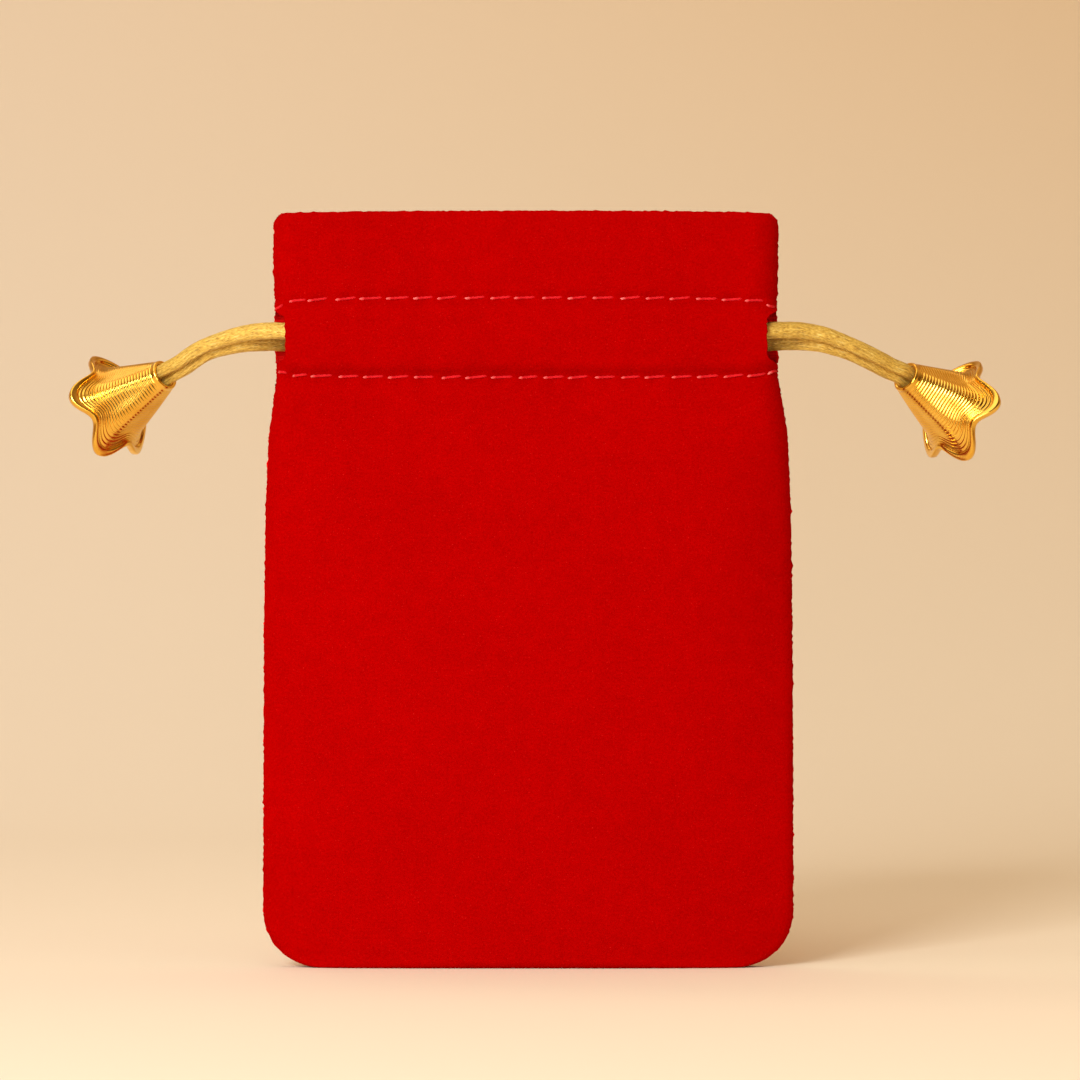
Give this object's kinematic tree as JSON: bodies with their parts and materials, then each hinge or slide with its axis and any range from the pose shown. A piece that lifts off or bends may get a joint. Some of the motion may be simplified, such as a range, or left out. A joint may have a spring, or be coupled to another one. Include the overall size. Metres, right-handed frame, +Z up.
{
  "type": "drawstring gift pouch",
  "caption": "Small flat velvet pouch with a stitched casing below its header, drawn shut by opposed braided cords that each end in a flower-shaped bell.",
  "frame": {"origin": "centre of the pouch's foot, on the surface that it stands on, without the cords and bells", "axes": "+Z up to the mouth, +X to the right seen from the front, the front faces -Y"},
  "size_m": [0.1761, 0.0301, 0.1415],
  "materials": {
    "velvet": "short-pile velvet, soft sheen",
    "thread": "sewing thread, lighter than the cloth",
    "braid": "satin braid, flattened",
    "bell_plating": "bright gold plating over thin moulded plastic"
  },
  "bodies": {
    "pouch": {"front_panel": "velvet", "back_panel": "velvet", "front_upper_stitching": "thread", "front_lower_stitching": "thread", "back_upper_stitching": "thread", "back_lower_stitching": "thread", "body_seam_thread": "thread", "left_header_seam_thread": "thread", "right_header_seam_thread": "thread"},
    "left_drawstring": {"left_drawcord": "braid"},
    "right_drawstring": {"right_drawcord": "braid"},
    "left_bell_end": {"left_bell": "bell_plating", "left_end_knot": "braid"},
    "right_bell_end": {"right_bell": "bell_plating", "right_end_knot": "braid"}
  },
  "joints": [
    {"name": "left_draw", "type": "slide", "parent": "pouch", "child": "left_drawstring", "axis": [-1, 0, 0], "range_m": [0, 0.024], "deforming": ["front_panel", "back_panel", "front_upper_stitching", "front_lower_stitching", "back_upper_stitching", "back_lower_stitching", "left_header_seam_thread", "right_header_seam_thread"]},
    {"name": "right_draw", "type": "slide", "parent": "pouch", "child": "right_drawstring", "axis": [1, 0, 0], "range_m": [0, 0.024], "deforming": ["front_panel", "back_panel", "front_upper_stitching", "front_lower_stitching", "back_upper_stitching", "back_lower_stitching", "left_header_seam_thread", "right_header_seam_thread"]},
    {"name": "left_swing", "type": "hinge", "parent": "left_drawstring", "child": "left_bell_end", "pos_m": [-0.047, 0, 0.118], "axis": [0, -1, 0], "range_deg": [-20, 40], "deforming": ["left_drawcord"]},
    {"name": "right_swing", "type": "hinge", "parent": "right_drawstring", "child": "right_bell_end", "pos_m": [0.047, 0, 0.118], "axis": [0, 1, 0], "range_deg": [-20, 40], "deforming": ["right_drawcord"]}
  ]
}
